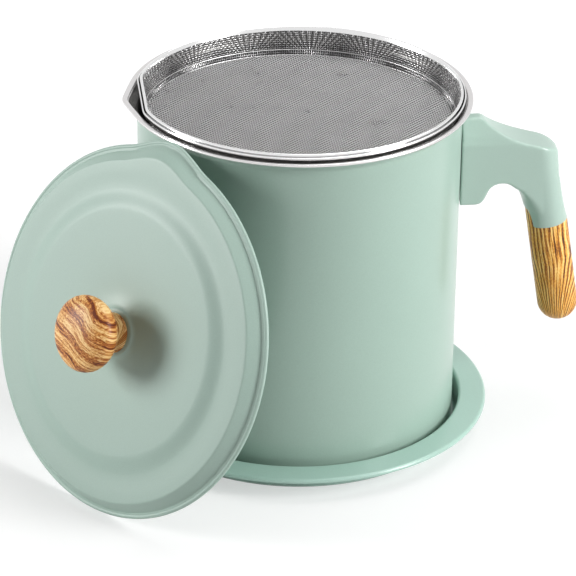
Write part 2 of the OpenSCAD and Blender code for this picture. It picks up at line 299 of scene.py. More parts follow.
@dataclass(frozen=True)
class PolishedSteel(Finish):
    """Bright rolled steel with faint turning marks round the pot's axis."""

    colour: Colour
    roughness: float
    mark_scale: float = 60 * 90.0
    smear_scale: float = 45.0
    mark_depth: float = 0.01 * MM

    def surface(self, bench: Bench) -> Inputs:
        """Its surface's inputs."""
        place = bench.place()
        x, y, z = bench.axes(place)
        marks = bench.noise(bench.joined(X=from_axis(x, y), Y=z), self.mark_scale, 3.0, 0.7)
        smears = bench.noise(place, self.smear_scale, 3.0)
        rough = self.roughness + (marks - 0.5) * 0.10 + (smears - 0.5) * 0.08
        return bare_metal(self.colour, rough, bench.bump(marks, self.mark_depth, 0.25))


@dataclass(frozen=True)
class BrushedSteel(Finish):
    """Drawn steel inside the pot, brushed round, a little stained, and dark partly as painted shade."""

    colour: Colour = srgb(104, 103, 101)
    stained: Colour = srgb(86, 83, 78)
    brush_scale: float = 1500.0
    stain_scale: float = 32.0
    brush_depth: float = 0.02 * MM

    def surface(self, bench: Bench) -> Inputs:
        """Its surface's inputs."""
        place = bench.place()
        x, y, z = bench.axes(place)
        brush = bench.noise(bench.joined(X=from_axis(x, y), Z=z), self.brush_scale, 4.0, 0.7)
        stain = bench.noise(place, self.stain_scale, 4.0)
        tinted = bench.blend((stain - 0.35) * 0.5, self.colour, self.stained)
        rough = 0.30 + (brush - 0.5) * 0.2 + (stain - 0.5) * 0.1
        return bare_metal(tinted, rough, bench.bump(brush, self.brush_depth, 0.4))


@dataclass(frozen=True)
class WireSteel(Finish):
    """Drawn stainless wire of the strainer's cloth."""

    colour: Colour
    dulled: Colour
    stain_scale: float = 60.0

    def surface(self, bench: Bench) -> Inputs:
        """Its surface's inputs."""
        stain = bench.noise(bench.place(), self.stain_scale, 2.0)
        return bare_metal(bench.blend(stain, self.dulled, self.colour), 0.22 + stain * 0.16)


@dataclass(frozen=True)
class DrawnWall(Finish):
    """Wire of the pan's drawn wall, with fans of painted highlight in its colour for the light off its
    cells.
    """

    foot: float
    rise: float
    fans: int = 15
    first: float = 79.6
    streaks: float = 62.0
    mottle_scale: float = 900.0
    # the wire's colour between the fans, and the painted highlight colour of the fans
    dull: Colour = srgb(84, 83, 83)
    fan_highlight: Colour = srgb(252, 251, 251)

    def surface(self, bench: Bench) -> Inputs:
        """Its surface's inputs."""
        x, y, z = bench.axes(bench.place())
        wide = 2 * math.pi / self.fans
        turn = y.apply("ARCTAN2", x) - math.radians(self.first)
        aside = (turn / wide + 0.5) % 1.0 - 0.5
        up = ((z - self.foot) / self.rise).clamp()
        spread = aside / (up**0.8 * 0.9 + 0.17)
        core = (1.0 - (spread * 0.9).apply("ABSOLUTE")).apply("MAXIMUM", 0.0)
        # painted highlight: bright streaks fanning up the wall from the pan's floor
        painted_streak = ((spread * self.streaks).apply("SINE") * 0.5 + 0.5) * core
        mottle = bench.noise(bench.place(), self.mottle_scale, 2.0)
        shade = (painted_streak * 1.1 + (mottle - 0.5) * 0.5 + 0.1).apply("MINIMUM", 1.0)
        return bare_metal(bench.blend(shade, self.dull, self.fan_highlight), 0.34 - painted_streak * 0.1)


@dataclass(frozen=True)
class PlatedSteel(Finish):
    """Zinc plated fasteners, dull and slightly mottled."""

    colour: Colour = srgb(176, 178, 182)
    mottled: Colour = srgb(150, 150, 152)
    mottle_scale: float = 700.0
    mottle_depth: float = 0.02 * MM

    def surface(self, bench: Bench) -> Inputs:
        """Its surface's inputs."""
        mottle = bench.noise(bench.place(), self.mottle_scale, 3.0)
        colour = bench.blend(mottle, self.colour, self.mottled)
        return bare_metal(colour, 0.28 + mottle * 0.2, bench.bump(mottle, self.mottle_depth, 0.3))


class Grain(Enum):
    """How the printed grain lies on a wood-look piece."""

    CONVERGING = "lines down the grip that draw together at its rounded end"
    SLANTED = "bands across the knob's head that bend over its edge"


@dataclass(frozen=True)
class WoodGrain(Finish):
    """Golden brown printed wood under a satin coat, in a piece's own leaning axes."""

    centre: Place
    turn: Place
    grain: Grain = Grain.CONVERGING
    pitch: float = 1.75 * MM
    offset: float = 0.0
    fine: float = 0.55 * MM
    sway: float = 0.35 * MM
    band: float = 0.72
    speck: float = 0.9
    dark: Colour = srgb(84, 46, 16)
    middle: Colour = srgb(186, 116, 40)
    light: Colour = srgb(234, 170, 76)
    pale: Colour = srgb(250, 212, 132)
    relief: float = 0.06 * MM

    def _course(self, x: Wire, y: Wire, z: Wire) -> tuple[Wire, Wire]:
        """Where a point lies across the grain's lines, and how far along them."""
        if self.grain is Grain.CONVERGING:
            run = ((z + 9 * MM) / (31 * MM)).clamp(0.02)
            narrowing = run**0.8 * 0.8 + 0.2
            return (x - y * 0.35 + 1.5 * MM) / narrowing, z
        across, along = x * 0.98 - y * 0.2, y * 0.98 + x * 0.2
        swerve = ((along - 3.5 * MM) / (3.0 * MM)).apply("TANH") * (-1.6 * MM)
        neck = (z - 17 * MM).apply("MINIMUM", 0.0) * -1.16
        return across + swerve + neck, along

    def surface(self, bench: Bench) -> Inputs:
        """Its surface's inputs."""
        lying = {"Vector": bench.place(), "Location": self.centre, "Rotation": self.turn}
        own = bench.wire("ShaderNodeMapping", lying, vector_type="TEXTURE")
        across, along = self._course(*bench.axes(own))
        swayed = across + (bench.noise(own, 70.0, 2.0) - 0.5) * (self.sway * 4)

        def strands(width: float, length: float, detail: float = 1.0) -> Wire:
            """Noise drawn out along the grain, about 0."""
            return bench.noise(bench.joined(X=swayed / width, Y=along / length), 1.0, detail) - 0.5

        wave = ((swayed / self.pitch + self.offset) % 1.0 - 0.5).apply("ABSOLUTE") * 2.0
        breaks = strands(self.pitch * 1.5, 14 * MM) + 0.9
        tone = 0.72 - wave**2.4 * breaks * self.band + strands(self.fine, 11 * MM) * 1.9
        tone = tone + strands(0.32 * MM, 1.1 * MM, 2.0) * self.speck
        stops = [(0.12, self.dark), (0.38, self.middle), (0.66, self.light), (0.94, self.pale)]
        return {
            "Base Color": bench.ramp(tone, stops),
            "Roughness": 0.46 - tone * 0.06,
            "Specular IOR Level": 0.3,
            "Coat Weight": 0.04,
            "Coat Roughness": 0.3,
            "Normal": bench.bump(tone, self.relief, 0.35),
        }


# ---- plan shapes


class Plan:
    """The outline of a turned piece seen from above. A plain one is a circle."""

    def radius(self, radius: float, angle: float) -> float:
        """The distance from the axis, where angle is counted from -X, in radians."""
        return radius


@dataclass(frozen=True)
class PouringLip(Plan):
    """A circle with a corner drawn out of it between two straight flanks."""

    reach: float
    softness: float = 0.035

    def radius(self, radius: float, angle: float) -> float:
        """As Plan has it."""
        touch = math.acos(radius / (radius + self.reach))
        turned_by = math.sqrt(angle * angle + self.softness**2)
        return radius / math.cos(touch - min(turned_by, touch))


@dataclass(frozen=True)
class Tab(Plan):
    """A circle with one smooth swelling, which covers the pouring lip."""

    reach: float
    half_angle: float = math.radians(17.5)

    def radius(self, radius: float, angle: float) -> float:
        """As Plan has it."""
        share = min(abs(angle) / self.half_angle, 1.0)
        return radius + self.reach * (0.5 + 0.5 * math.cos(math.pi * share))


@dataclass(frozen=True)
class FlatSide(Plan):
    """A circle with one flat side at -X, blended in at its ends."""

    flat: float
    of_radius: float
    blend: float = 0.25
    widest: float = 1.0

    def radius(self, radius: float, angle: float) -> float:
        """As Plan has it."""
        if abs(angle) > self.widest:
            return radius
        chord = (self.flat - self.of_radius + radius) / math.cos(angle)
        k = self.blend
        low = min(radius, chord)
        return low - k * math.log(math.exp((low - radius) / k) + math.exp((low - chord) / k))


# ---- sheet and turned work


@dataclass(frozen=True)
class Turn:
    """One point of a turned section: radius, height, and its share of the plan's shape."""

    radius: float
    height: float
    share: float = 1.0


def arc(centre: Point, radius: float, start: float, end: float, steps: int) -> list[Point]:
    """Points on an arc, with its angles in degrees."""
    angles = [math.radians(start + (end - start) * i / steps) for i in range(steps + 1)]
    return [(centre[0] + radius * math.cos(a), centre[1] + radius * math.sin(a)) for a in angles]


def bezier(corners: Sequence[Point], steps: int = 12) -> list[Point]:
    """Points on a curve that leaves the first of four corners and reaches the last."""
    line = []
    for i in range(steps + 1):
        t = i / steps
        s = 1 - t
        weights = (s**3, 3 * s * s * t, 3 * s * t * t, t**3)
        line.append(tuple(sum(p[n] * w for p, w in zip(corners, weights)) for n in (0, 1)))
    return line


def reached(value: float, low: float, high: float) -> float:
    """How far a value has come from low to high, from 0 to 1."""
    return min(1.0, max(0.0, (value - low) / (high - low)))


def eased(share: float) -> float:
    """A share of 0 to 1 with a soft start and end."""
    return share * share * (3 - 2 * share)


def rounded(corners: Sequence[Corner], steps: int = 8) -> list[Point]:
    """A line through corners that are rounded off.

    Args:
        corners: radius, height and fillet of each corner.
        steps: pieces in each fillet.

    Returns:
        The points of the line.
    """
    points: list[Point] = [corners[0][:2]]
    for before, here, after in zip(corners, corners[1:], corners[2:]):
        corner = Vector(here[:2])
        first = (Vector(before[:2]) - corner).normalized()
        second = (Vector(after[:2]) - corner).normalized()
        half = first.angle(second) / 2
        if here[2] <= 0 or half > STRAIGHT:
            points.append(here[:2])
            continue
        back = here[2] / math.tan(half)
        middle = corner + (first + second).normalized() * (here[2] / math.sin(half))
        start = corner + first * back - middle
        bend = start.angle_signed(corner + second * back - middle)
        for i in range(steps + 1):
            points.append(tuple(middle + Matrix.Rotation(-bend * i / steps, 2) @ start))
    points.append(corners[-1][:2])
    return points


def beside(line: Sequence[Point], distance: float) -> list[Point]:
    """A line moved sideways, to the left of its direction."""
    moved = []
    for i, here in enumerate(line):
        ends = Vector(line[max(i - 1, 0)]), Vector(line[min(i + 1, len(line) - 1)])
        along = (ends[1] - ends[0]).normalized()
        moved.append((here[0] - along.y * distance, here[1] + along.x * distance))
    return moved


def dense(line: Sequence[Point], step: float) -> list[Point]:
    """The same line with points added, so that none lie further apart than step."""
    filled: list[Point] = [line[0]]
    for (x0, z0), (x1, z1) in zip(line, line[1:]):
        count = max(1, math.ceil(math.hypot(x1 - x0, z1 - z0) / step))
        for i in range(1, count + 1):
            filled.append((x0 + (x1 - x0) * i / count, z0 + (z1 - z0) * i / count))
    return filled


def skins(line: Sequence[Point], thickness: float) -> tuple[list[Point], list[Point]]:
    """The upper and lower side of a sheet whose middle follows a line from the axis."""
    sides = beside(line, thickness / 2), beside(line, -thickness / 2)
    for side in sides:
        side[0] = (0.0, side[0][1])
    return sides


def thick(line: Sequence[Point], thickness: float) -> list[Point]:
    """The outline of a sheet whose middle follows a line from the axis."""
    upper, lower = skins(line, thickness)
    return upper + lower[::-1]


def turned(
    name: str,
    section: Sequence[Turn],
    plan: Plan = Plan(),
    sides: int = SIDES,
    closed: bool = False,
    pose: Matrix = Matrix.Identity(4),
    lined: int = 0,
) -> Piece:
    """A solid of revolution whose plan may depart from a circle.

    Args:
        name: the object's name.
        section: its outline in millimetres, from the axis round and back to it,
            or a loop clear of the axis when closed.
        plan: the outline from above.
        sides: the number of sides.
        closed: whether the section is a loop.
        pose: where the piece goes, in metres.
        lined: how many stretches of the section, from its start, take the second material.

    Returns:
        The object, with its place in its mesh.
    """
    mesh = bmesh.new()
    rings: list[list[bmesh.types.BMVert]] = []
    for point in section:
        if point.radius < ON_AXIS:
            rings.append([mesh.verts.new((0.0, 0.0, point.height * MM))])
            continue
        ring = []
        for i in range(sides):
            angle = 2 * math.pi * i / sides
            shaped = plan.radius(point.radius, angle - math.pi) - point.radius
            r = (point.radius + point.share * shaped) * MM
            ring.append(mesh.verts.new((r * math.cos(angle), r * math.sin(angle), point.height * MM)))
        rings.append(ring)
    pairs = list(zip(rings, rings[1:]))
    if closed:
        pairs.append((rings[-1], rings[0]))
    for stretch, (low, high) in enumerate(pairs):
        if len(low) == len(high) == 1:
            continue
        for i in range(sides):
            j = (i + 1) % sides
            if len(low) == 1:
                corners = (low[0], high[j], high[i])
            elif len(high) == 1:
                corners = (low[i], low[j], high[0])
            else:
                corners = (low[i], low[j], high[j], high[i])
            mesh.faces.new(corners).material_index = int(stretch < lined)
    return finished(name, mesh, pose)


def added(name: str, data: bpy.types.ID) -> Piece:
    """A new object in the scene."""
    made = bpy.data.objects.new(name, data)
    bpy.context.scene.collection.objects.link(made)
    return made


def shade_smooth(data: bpy.types.Mesh, crisp: float | None = None) -> None:
    """Shades a mesh smooth, but for edges that bend more than so many degrees."""
    data.polygons.foreach_set("use_smooth", [True] * len(data.polygons))
    if crisp is not None:
        data.set_sharp_from_angle(angle=math.radians(crisp))


def finished(name: str, mesh: bmesh.types.BMesh, pose: Matrix = Matrix.Identity(4)) -> Piece:
    """Turns built faces into a smooth shaded object at the origin.

    Args:
        name: the object's name.
        mesh: its faces; freed here.
        pose: where the piece goes.

    Returns:
        The object.
    """
    mesh.transform(pose)
    bmesh.ops.recalc_face_normals(mesh, faces=mesh.faces)
    data = bpy.data.meshes.new(name)
    mesh.to_mesh(data)
    mesh.free()
    shade_smooth(data, CRISP)
    return added(name, data)


def settle(piece: Piece) -> None:
    """Replaces a piece's modifiers with the mesh that they give."""
    graph = bpy.context.evaluated_depsgraph_get()
    result = bpy.data.meshes.new_from_object(piece.evaluated_get(graph))
    piece.modifiers.clear()
    piece.data, result.name = result, piece.name


@dataclass
class Workshop:
    """Dresses finished pieces and fixes them to their bodies."""

    plated: PlatedSteel = PlatedSteel("zinc_plate")
    materials: dict[str, Paint] = field(default_factory=dict)
    triangles: int = 0

    def paint(self, finish: Finish) -> Paint:
        """The material of a finish, made once."""
        if finish.name not in self.materials:
            self.materials[finish.name] = finish.material()
        return self.materials[finish.name]

    def deliver(self, piece: Piece, body: Body, slot: Slot, node: str, *finishes: Finish) -> None:
        """Dresses a piece and fixes it to its body.

        Args:
            piece: the piece, finished and in place.
            body: the body that it rides on.
            slot: not used.
            node: the CAD node that it stands for.
            finishes: one for each material index of its faces; none where the mesh
                already has its materials.
        """
        for finish in finishes:
            piece.data.materials.append(self.paint(finish))
        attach(piece, body.value)
        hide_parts(node)
        count = sum(len(face.vertices) - 2 for face in piece.data.polygons)
        self.triangles += count
        log.info("%s rides on %s, %d triangles", piece.name, body.value, count)

    def plate(self, *nodes: str) -> None:
        """Gives CAD nodes that stay in view, all of them fasteners, their zinc plate."""
        for node in nodes:
            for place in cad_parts[node].material_slots:
                place.material = self.paint(self.plated)
            log.info("%s keeps its solid, in %s", node, self.plated.name)


# ---- the drip tray


@dataclass
class DripTray:
    """Pressed tray: a shallow well, a wide flange and a turned-down lip."""

    thickness: float = 0.8
    well: float = 67.2
    lip: float = 78.3
    flange: float = 10.4
    drop: float = 8.8
    # mint enamel made lighter than the pot's: its own colour plus painted light for the flange's bright
    # reflection
    finish: Enamel = Enamel("mint_tray", srgb(166, 198, 186), 0.3)

    def build(self, shop: Workshop) -> None:
        """Makes the tray and hands it over."""
        bottom = self.thickness / 2
        corners = [
            (0.0, bottom, 0.0),
            (self.well, bottom, 2.2),
            (self.well + 0.65, self.flange, 1.0),
            (self.lip, self.flange - 0.45, 0.9),
            (self.lip, self.drop, 0.0),
        ]
        outline = thick(dense(rounded(corners), 6.0), self.thickness)
        tray = turned("drip_tray", [Turn(*point) for point in outline])
        shop.deliver(tray, Body.TRAY, Slot.ENAMEL, "tray", self.finish)


# ---- the pot


@dataclass
class Pot:
    """Drawn pot with a bare steel hem and a pouring lip opposite the handle."""

    thickness: float = 0.6
    floor: float = 0.9
    foot: float = 51.2
    foot_step: float = 1.0
    wall: float = 64.5
    collar: float = 66.6
    rim: float = 142.5
    hem_out: float = 69.0
    hem_round: float = 0.55
    lip_reach: float = 2.5
    flare_from: float = 133.0
    enamel: Enamel = Enamel("mint_pot", srgb(158, 182, 170), 0.30, coat=0.2, sheen_level=0.32)
    # bare steel inside the pot, its darkness partly the steel's own and partly painted shade for the dim
    # inside
    shaded_lining: BrushedSteel = BrushedSteel("drawn_steel_shaded")
    hem_finish: PolishedSteel = PolishedSteel("rolled_hem", srgb(214, 212, 212), 0.24)

    def _share(self, height: float) -> float:
        """How much of the pouring lip shows at a height."""
        share = reached(height, self.flare_from, self.rim - 1.4)
        return eased(share) * share

    def _wall(self) -> Piece:
        """The drawn wall and bottom, enamelled outside and bare inside."""
        base = self.floor + self.thickness / 2
        corners = [
            (0.0, base + self.foot_step, 0.0),
            (self.foot, base + self.foot_step, 1.2),
            (self.foot + 1.4, base, 1.2),
            (self.wall, base, 3.7),
            (self.wall, self.rim - 4.2, 3.0),
            (self.collar - 0.1, self.rim - 1.7, 1.2),
            (self.collar, self.rim - 1.0, 0.0),
        ]
        middle = rounded(corners)
        flared = 12  # the last points of the line, where the pouring lip bends the wall
        fine = dense(dense(middle[:-flared], 8.0) + dense(middle[-flared:], 0.6), 8.0)
        section = [Turn(r, z, self._share(z)) for r, z in thick(fine, self.thickness)]
        plan = PouringLip(self.lip_reach)
        return turned("pot_wall", section, plan, FINE_SIDES, lined=len(fine))

    def _hem(self) -> Piece:
        """The rolled bare rim."""
        inner, outer, r = self.collar - 0.35, self.hem_out, self.hem_round
        low, top = self.rim - 1.25, self.rim
        loop = (
            arc((outer - r, low + r), r, -90, 0, 6)
            + arc((outer - r, top - r), r, 0, 90, 6)
            + arc((inner + 0.9, top - 0.3 - r), r, 90, 180, 6)
            + [(inner, low + 0.2), (inner + 0.5, low - 0.1)]
        )
        section = [Turn(*point) for point in loop]
        return turned("pot_rim", section, PouringLip(self.lip_reach), FINE_SIDES, closed=True)

    def build(self, shop: Workshop) -> None:
        """Makes the pot's pieces and hands them over."""
        shop.deliver(self._wall(), Body.POT, Slot.ENAMEL, "pot_shell", self.enamel, self.shaded_lining)
        shop.deliver(self._hem(), Body.POT, Slot.POLISHED, "pot_shell", self.hem_finish)


# ---- the handle


@dataclass
class Handle:
    """Moulded handle with a wood-look grip, one smooth form parted at the ferrule."""

    voxel: float = 0.45
    smoothing: int = 7
    crown_from: float = 74.0
    crown_above: float = 104.0
    crown_blend: float = 14.0
    crown_smoothing: int = 26
    arch_middle: float = 82.0
    leg_smoothing: int = 14
    round_z: Point = (79.0, 101.5)
    leg_round: float = 8.35
    leg_end: Point = (108.3, 46.3)
    leg_lean: float = 9.2
    ferrule: float = 83.2
    tongue: float = 89.6
    tongue_bend: float = 86.4
    inset: float = 6.3
    block_x: Point = (80.0, 130.0)
    block_half: float = 20.0
    part_crisp: float = 50.0
    moulding: Enamel = Enamel("mint_moulding", srgb(165, 188, 177), 0.34, speckle=0.03)

    def _form(self) -> Piece:
        """The whole handle as one smooth solid."""
        mesh = bmesh.new()
        for node in ("handle_body", "handle_grip"):
            mesh.from_mesh(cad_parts[node].data)
        bmesh.ops.remove_doubles(mesh, verts=mesh.verts, dist=WELD)
        form = finished("handle_form", mesh)
        remesh = form.modifiers.new("one_skin", "REMESH")
        remesh.mode = "VOXEL"
        remesh.voxel_size = self.voxel * MM
        smooth = form.modifiers.new("soften", "SMOOTH")
        smooth.factor, smooth.iterations = 0.5, self.smoothing
        settle(form)
        self._round_leg(form)
        low, high = self.round_z

        def leg(x: float, z: float) -> float:
            """How far a point lies inside the leg's rounded stretch."""
            return min(z - low + 1, high - z, x - self.arch_middle) / 2

        def crown(x: float, z: float) -> float:
            """How far a point lies along the roof's edge."""
            return (x - self.crown_from) / self.crown_blend if z > self.crown_above else 0.0

        self._melt(form, "leg", leg, self.leg_smoothing)
        self._melt(form, "crown", crown, self.crown_smoothing)
        return form

    @staticmethod
    def _melt(form: Piece, name: str, share: Callable[[float, float], float], times: int) -> None:
        """Softens one region of the form.

        Args:
            form: the form, changed here.
            name: the region's name.
            share: how much a point at x and z, in millimetres, takes part.
            times: how often its neighbours are averaged.
        """
        group = form.vertex_groups.new(name=name)
        for vertex in form.data.vertices:
            x, _, z = vertex.co / MM
            if share(x, z) > 0:
                group.add([vertex.index], min(1.0, share(x, z)), "REPLACE")
        melt = form.modifiers.new(name, "SMOOTH")
        melt.factor, melt.iterations, melt.vertex_group = 0.5, times, name
        settle(form)

    def _round_leg(self, form: Piece) -> None:
        """Rolls the arm's inner edge ever rounder, down to the leg's full round."""
        low, high = self.round_z
        places = [vertex.co / MM for vertex in form.data.vertices]
        edge: dict[int, float] = {}
        for x, y, z in places:
            if x > self.arch_middle and abs(y) < 4 and low - 2 < z < high + 1:
                edge[round(z)] = min(edge.get(round(z), math.inf), x)
        for vertex, (x, y, z) in zip(form.data.vertices, places):
            level = math.floor(z)
            if not low < z < high or x < self.arch_middle:
                continue
            share = (high - z) / (high - low)
            roll = self.leg_round * min(1.0, share * 1.7) ** 0.8
            inner = edge[level] + (edge[level + 1] - edge[level]) * (z - level)
            back = (inner + roll - x) / roll
            past = math.hypot(back, y / self.leg_round)
            if back > 0 and past > 1:
                vertex.co.x = (inner + roll - back / past * roll) * MM
                vertex.co.y = y / past * MM

    def _wood_block(self) -> Piece:
        """A block that holds all of the handle that is wood."""
        slope = math.tan(math.radians(self.leg_lean))
        axis = self.leg_end[0] - (self.ferrule - self.leg_end[1]) * slope
        edge = axis - self.inset
        left, right = self.block_x
        corners = [
            (right, self.ferrule + (right - axis) * slope, 0.0),
            (edge, self.ferrule - self.inset * slope, 0.6),
            (edge - 1.1, self.tongue_bend, 4.0),
            (edge - 2.6, self.tongue, 0.0),
            (left, self.tongue, 0.0),
            (left, 0.0, 0.0),
            (right, 0.0, 0.0),
        ]
        line = rounded(corners)
        mesh = bmesh.new()
        near, far = (
            [mesh.verts.new((x * MM, y * MM, z * MM)) for x, z in line]
            for y in (-self.block_half, self.block_half)
        )
        mesh.faces.new(near)
        mesh.faces.new(far[::-1])
        for i in range(len(line)):
            j = (i + 1) % len(line)
            mesh.faces.new((near[i], near[j], far[j], far[i]))
        return finished("wood_block", mesh)

    def _part(self, form: Piece, block: Piece, name: str, operation: str) -> Piece:
        """The share of the form that lies inside or outside the block."""
        piece = added(name, form.data.copy())
        cut = piece.modifiers.new("part", "BOOLEAN")
        cut.operation, cut.object, cut.solver = operation, block, "EXACT"
        settle(piece)
        shade_smooth(piece.data, self.part_crisp)
        return piece

    def build(self, shop: Workshop) -> None:
        """Makes the handle's two pieces and dresses its fasteners."""
        form, block = self._form(), self._wood_block()
        upper = self._part(form, block, "handle_arm", "DIFFERENCE")
        grip = self._part(form, block, "handle_wood", "INTERSECT")
        for spare in (form, block):
            bpy.data.objects.remove(spare)
        x, z = self.leg_end
        lean = -math.radians(self.leg_lean)
        wood = WoodGrain("wood_grip", (x * MM, 0.0, z * MM), (0.0, lean, 0.0))
        shop.deliver(upper, Body.POT, Slot.MOULDING, "handle_body", self.moulding)
        shop.deliver(grip, Body.POT, Slot.WOOD, "handle_grip", wood)
        shop.plate("handle_bracket", "handle_screw", "handle_lock_washer")


# ---- the strainer


class Lay(Enum):
    """The two sets of wires of a weave, which pass over and under each other."""

    WARP = 0
    WEFT = 1


@dataclass
class Strainer:
    """Folded ring with a pan of wire cloth, flat on the side of the pouring lip."""

    ring_out: float = 66.1
    ring_in: float = 63.45
    ring_low: float = 141.15
    ring_top: float = 145.05
    flat: float = 63.9
    floor: float = 133.35
    floor_radius: float = 61.4
    chamfer: float = 2.0
    pitch: float = 0.95
    wire: float = 0.34
    wire_sides: int = 4
    hidden: float = 1.75  # how far the cloth's edge lies under the ring's top
    ring_finish: PolishedSteel = PolishedSteel("polished_ring", srgb(228, 228, 228), 0.12)
    wire_finish: WireSteel = WireSteel("drawn_wire", srgb(212, 211, 211), srgb(186, 185, 185))
    # the cross wires are a much darker copy of the drawn wire: painted shade, so the crossings alternate
    # light and dark
    shaded_wire_finish: WireSteel = WireSteel("shaded_cross_wire", srgb(66, 65, 65), srgb(52, 51, 51))

    def _turned(self, name: str, loop: list[Point], sides: int) -> Piece:
        """A loop taken round the strainer's outline with its flat."""
        section = [Turn(*point) for point in loop]
        return turned(name, section, FlatSide(self.flat, self.ring_out), sides, closed=True)

    def _ring(self) -> Piece:
        """The folded ring: a high inner roll, a groove, and a lower roll that overhangs."""
        low, top, out, inner = self.ring_low, self.ring_top, self.ring_out, self.ring_in
        loop = (
            [(out - 1.0, low), (out - 0.8, low + 0.2), (out - 0.8, low + 1.5)]
            + [(out - 0.55, low + 1.8), (out - 0.1, low + 2.0)]
            + arc((out - 0.35, top - 1.45), 0.35, -10, 120, 6)
            + [(out - 0.95, top - 2.3)]
            + arc((inner + 0.95, top - 0.62), 0.62, -20, 146, 12)
            + [(inner, top - 1.75), (inner + 0.3, top - 2.0), (out - 1.6, top - 2.0)]
        )
        return self._turned("strainer_rim", loop, FINE_SIDES)

    @staticmethod
    def _tree(name: str) -> tuple[Bench, dict[str, Wire]]:
        """A geometry tree with the named inputs that a cloth needs."""
        tree = bpy.data.node_groups.new(name, "GeometryNodeTree")
        tree.is_modifier = True
        face = tree.interface
        face.new_socket("Geometry", in_out="OUTPUT", socket_type="NodeSocketGeometry")
        names = ("Pitch", "Wire", "Radius", "Flat", "Height", "Rise", "Lay")
        for label in names:
            face.new_socket(label, in_out="INPUT", socket_type="NodeSocketFloat")
        face.new_socket("Finish", in_out="INPUT", socket_type="NodeSocketMaterial")
        bench = Bench(tree)
        group = bench.node("NodeGroupInput")
        return bench, {label: Wire(bench, group.outputs[label]) for label in (*names, "Finish")}

    def _string(self, bench: Bench, rows: Wire, given: dict[str, Wire], spot: Wire) -> None:
        """Turns rows of points into wires and ends the tree.

        Args:
            bench: the tree's bench.
            rows: the edges that the wires follow.
            given: the tree's named inputs.
            spot: where each point goes.
        """
        placed = bench.wire("GeometryNodeSetPosition", {"Geometry": rows, "Position": spot})
        line = bench.wire("GeometryNodeMeshToCurve", {"Mesh": placed})
        round_wire = {"Resolution": self.wire_sides, "Radius": given["Wire"] / 2}
        section = bench.wire("GeometryNodeCurvePrimitiveCircle", round_wire)
        tube = bench.wire("GeometryNodeCurveToMesh", {"Curve": line, "Profile Curve": section})
        dressed = {"Geometry": tube, "Material": given["Finish"]}
        bench.node("NodeGroupOutput", {0: bench.wire("GeometryNodeSetMaterial", dressed)})

    @staticmethod
    def _rows(bench: Bench, grid: Wire, given: dict[str, Wire]) -> Wire:
        """Keeps only the grid's edges that run along one set of wires."""
        ends = bench.node("GeometryNodeInputMeshEdgeVertices")
        first, second = (bench.axes(Wire(bench, ends.outputs[f"Position {n}"]))[0] for n in (1, 2))
        along_x = (first - second).apply("ABSOLUTE") > given["Pitch"] * 0.5
        unwanted = (along_x - given["Lay"]).apply("ABSOLUTE") < 0.5
        inputs = {"Geometry": grid, "Selection": unwanted}
        return bench.wire("GeometryNodeDeleteGeometry", inputs, domain="EDGE", mode="EDGE_FACE")

    @staticmethod
    def _side(count: Wire, given: dict[str, Wire]) -> Wire:
        """Half a wire up or down, in turn from crossing to crossing."""
        side = (count % 2.0 * 2.0 - 1.0) * (given["Lay"] * 2.0 - 1.0)
        return side * given["Wire"] * 0.5

    def _floor_tree(self) -> bpy.types.NodeTree:
        """Flat cloth, cut to the pan's outline."""
        bench, given = self._tree("woven_floor")
        pitch = given["Pitch"]
        count = 2 * int(self.floor_radius / self.pitch) + 1
        size = pitch * (count - 1)
        inputs = {"Size X": size, "Size Y": size, "Vertices X": count, "Vertices Y": count}
        grid = bench.wire("GeometryNodeMeshGrid", inputs)
        x, y, _ = bench.axes(bench.wire("GeometryNodeInputPosition"))
        past_flat = x < given["Flat"] * -1.0
        beyond = (from_axis(x, y) > given["Radius"]).apply("MAXIMUM", past_flat)
        cut = {"Geometry": grid, "Selection": beyond}
        disc = bench.wire("GeometryNodeDeleteGeometry", cut, domain="POINT")
        rows = self._rows(bench, disc, given)
        crossing = (x / pitch).apply("ROUND") + (y / pitch).apply("ROUND")
        lift = given["Height"] + self._side(crossing, given)
        self._string(bench, rows, given, bench.joined(X=x, Y=y, Z=lift))
        return bench.tree

    def _wall_tree(self, rise: float) -> bpy.types.NodeTree:
        """Cloth bent up round the pan's floor, to a height of rise."""
        bench, given = self._tree("woven_wall")
        pitch = given["Pitch"]
        rows = int(rise / self.pitch) + 2
        around = 2 * round(math.pi * (self.floor_radius + 1.2) / self.pitch)
        size = {"Size X": pitch * around, "Size Y": pitch * (rows - 1)}
        grid = bench.wire("GeometryNodeMeshGrid", {**size, "Vertices X": around + 1, "Vertices Y": rows})
        x, y, _ = bench.axes(bench.wire("GeometryNodeInputPosition"))
        column = (x / pitch).apply("ROUND")
        row = (y / pitch + (rows - 1) / 2).apply("ROUND")
        up = row / (rows - 1) * given["Rise"]
        lean = up.apply("MINIMUM", self.chamfer * MM) * 0.4 + up * 0.15
        radius = given["Radius"] + lean + self._side(column + row, given)
        angle = column * (2 * math.pi / around)
        cosine, sine = angle.apply("COSINE"), angle.apply("SINE")
        chord = (given["Flat"] + radius - given["Radius"]) / cosine.apply("MAXIMUM", 0.2)
        away = radius.apply("MINIMUM", chord)
        spot = bench.joined(X=away * cosine * -1.0, Y=away * sine, Z=given["Height"] + up)
        self._string(bench, self._rows(bench, grid, given), given, spot)
        return bench.tree

